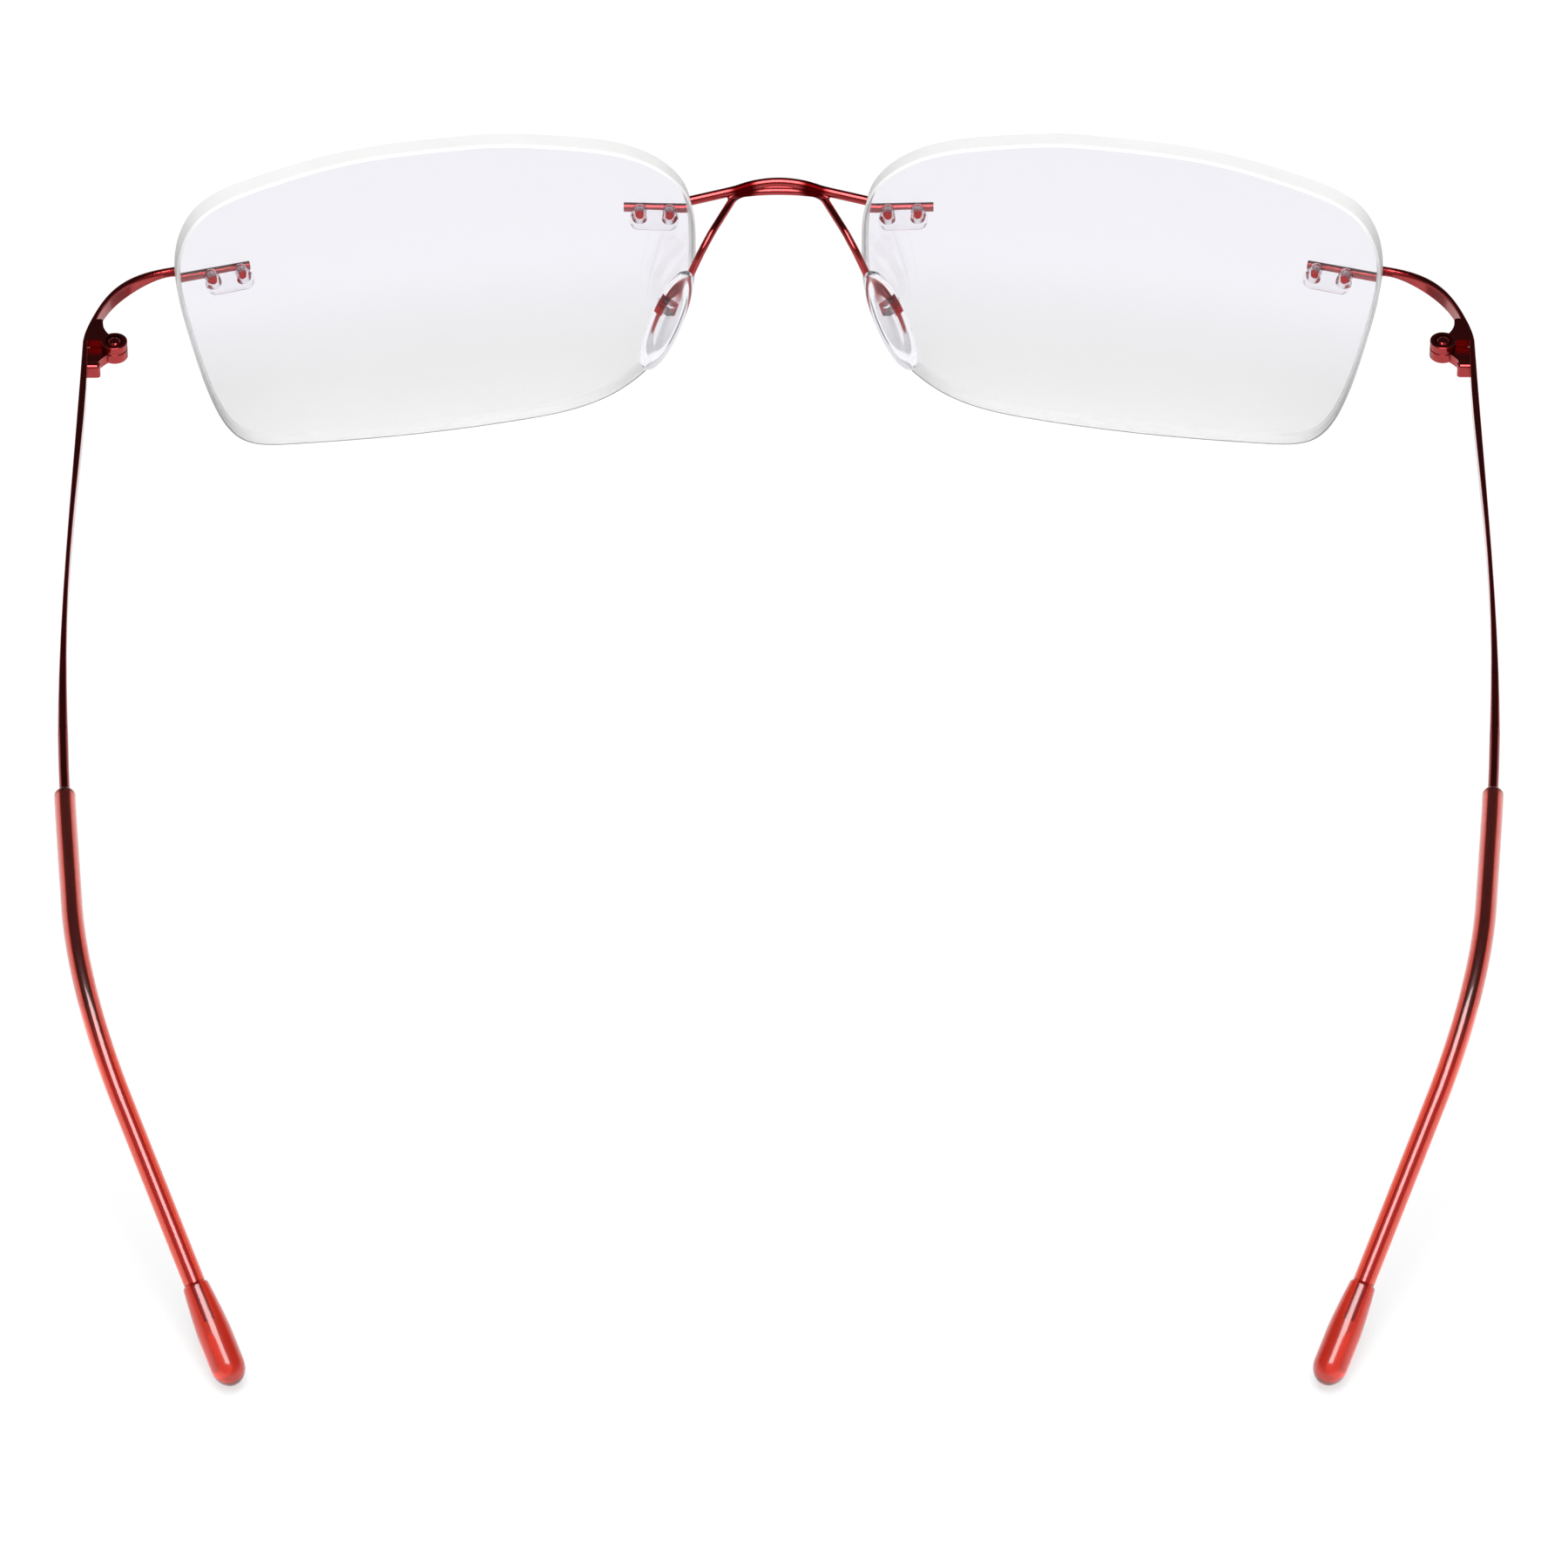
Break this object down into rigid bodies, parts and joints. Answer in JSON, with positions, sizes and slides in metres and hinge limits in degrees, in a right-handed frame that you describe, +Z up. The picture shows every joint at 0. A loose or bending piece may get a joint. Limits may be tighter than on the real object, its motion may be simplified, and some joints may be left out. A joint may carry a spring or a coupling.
{
  "type": "eyeglasses",
  "caption": "Rimless eyeglasses: drilled clear lenses, double-wire bridge, rocking clear nose pads, and thin folding wire temples with translucent red ear sleeves.",
  "frame": {"origin": "on the surface that the open glasses stand on, midway along the box of the whole object in X and Y", "axes": "+X to the wearer's right, +Y forward out of the lenses, +Z up"},
  "size_m": [0.1386, 0.144, 0.0332],
  "materials": {
    "red_metal": "glossy red plating over metal wire",
    "lens": "clear polished lens resin",
    "clear_plug": "clear moulded plastic",
    "silicone": "clear soft silicone",
    "red_clear": "translucent red tube and tip"
  },
  "bodies": {
    "front": {"bridge_wire": "red_metal", "endpiece_left": "red_metal", "endpiece_right": "red_metal", "hinge_front_leaf_left": "red_metal", "hinge_front_leaf_right": "red_metal", "hinge_screw_left": "red_metal", "hinge_screw_right": "red_metal", "lens_left": "lens", "lens_plug_nasal_left": "clear_plug", "lens_plug_nasal_right": "clear_plug", "lens_plug_temporal_left": "clear_plug", "lens_plug_temporal_right": "clear_plug", "lens_right": "lens", "pad_arm_wire": "red_metal", "pad_box_left": "red_metal", "pad_box_right": "red_metal", "pad_screw_left": "red_metal", "pad_screw_right": "red_metal"},
    "nose_pad_right": {"nose_pad_right": "silicone", "pad_core_right": "clear_plug"},
    "temple_right": {"hinge_temple_leaf_right": "red_metal", "temple_wire_right": "red_metal", "temple_sleeve_right": "red_clear", "temple_end_right": "red_clear"},
    "nose_pad_left": {"nose_pad_left": "silicone", "pad_core_left": "clear_plug"},
    "temple_left": {"hinge_temple_leaf_left": "red_metal", "temple_wire_left": "red_metal", "temple_sleeve_left": "red_clear", "temple_end_left": "red_clear"}
  },
  "joints": [
    {"name": "temple_right_fold", "type": "hinge", "parent": "front", "child": "temple_right", "pos_m": [0.0662, 0.05009, 0.02138], "axis": [0, -0.0274, -0.9996], "range_deg": [0, 72]},
    {"name": "temple_left_fold", "type": "hinge", "parent": "front", "child": "temple_left", "pos_m": [-0.0662, 0.05009, 0.02138], "axis": [0, 0.0274, 0.9996], "range_deg": [0, 82]},
    {"name": "nose_pad_right_rock", "type": "hinge", "parent": "front", "child": "nose_pad_right", "pos_m": [0.01134, 0.06052, 0.01773], "axis": [-0.7294, 0.6113, -0.307], "range_deg": [-4, 4]},
    {"name": "nose_pad_left_rock", "type": "hinge", "parent": "front", "child": "nose_pad_left", "pos_m": [-0.01134, 0.06052, 0.01773], "axis": [-0.7294, -0.6113, 0.307], "range_deg": [-4, 4]}
  ]
}
